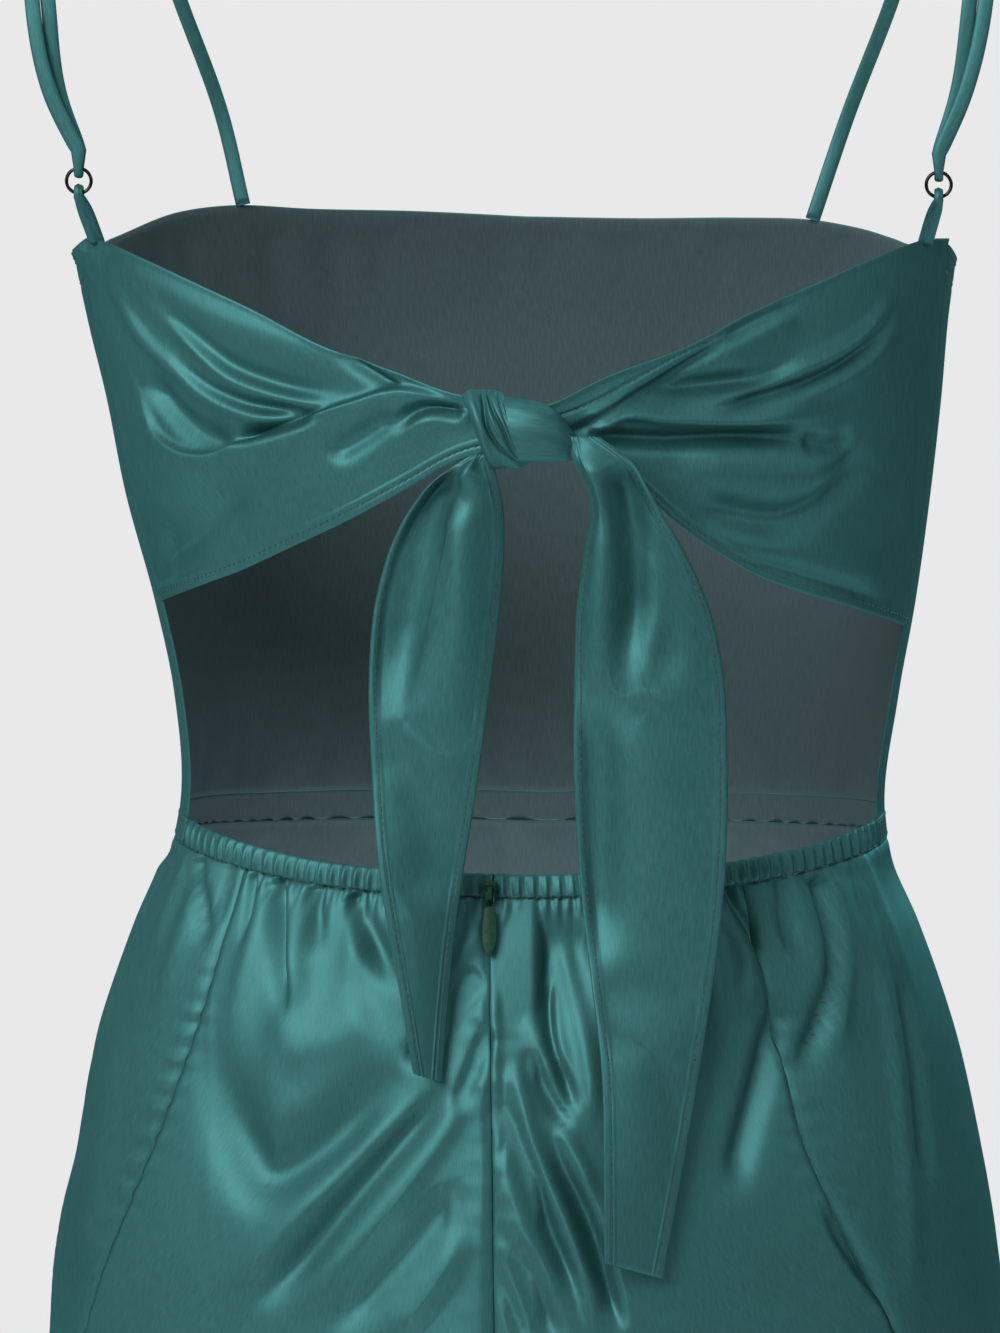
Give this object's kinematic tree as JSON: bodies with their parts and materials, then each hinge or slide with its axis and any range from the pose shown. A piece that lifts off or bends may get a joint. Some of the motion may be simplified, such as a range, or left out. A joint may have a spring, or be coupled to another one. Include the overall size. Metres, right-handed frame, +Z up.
{
  "type": "open-back maxi dress",
  "caption": "Long satin dress with thin ring-and-slider straps, a tied open back with hanging tie ends, a gathered elastic waist and a full-length skirt with a back zip.",
  "frame": {"origin": "middle between the two places where the straps rest on the wearer's shoulders, at the straps' underside", "axes": "+Z up, the dress faces -Y with its open back towards +Y, +X is the wearer's left"},
  "size_m": [0.4779, 0.3627, 1.3621],
  "materials": {
    "satin": "emerald polyester satin, soft gloss",
    "zip_tape": "woven tape, matt",
    "zip_enamel": "dark green enamel",
    "gunmetal": "polished gunmetal plating"
  },
  "bodies": {
    "dress": {"bodice_front": "satin", "bodice_back_left": "satin", "bodice_back_right": "satin", "knot_core": "satin", "knot_wrap": "satin", "tie_tail_left": "satin", "tie_tail_right": "satin", "waistband_front": "satin", "waist_casing_back_left": "satin", "waist_casing_back_right": "satin", "skirt_front": "satin", "skirt_back_left": "satin", "skirt_back_right": "satin", "zip_tape": "zip_tape", "zip_slider": "zip_enamel", "strap_left": "satin", "strap_right": "satin", "strap_tab_left": "satin", "strap_tab_right": "satin", "ring_left": "gunmetal", "ring_right": "gunmetal", "strap_slider_left": "gunmetal", "strap_slider_right": "gunmetal"},
    "pull_tab": {"zip_pull": "zip_enamel"}
  },
  "joints": [
    {"name": "pull_swing", "type": "hinge", "parent": "dress", "child": "pull_tab", "pos_m": [0.00918, 0.0876, -0.3785], "axis": [1, 0, 0], "range_deg": [0, 135]}
  ]
}
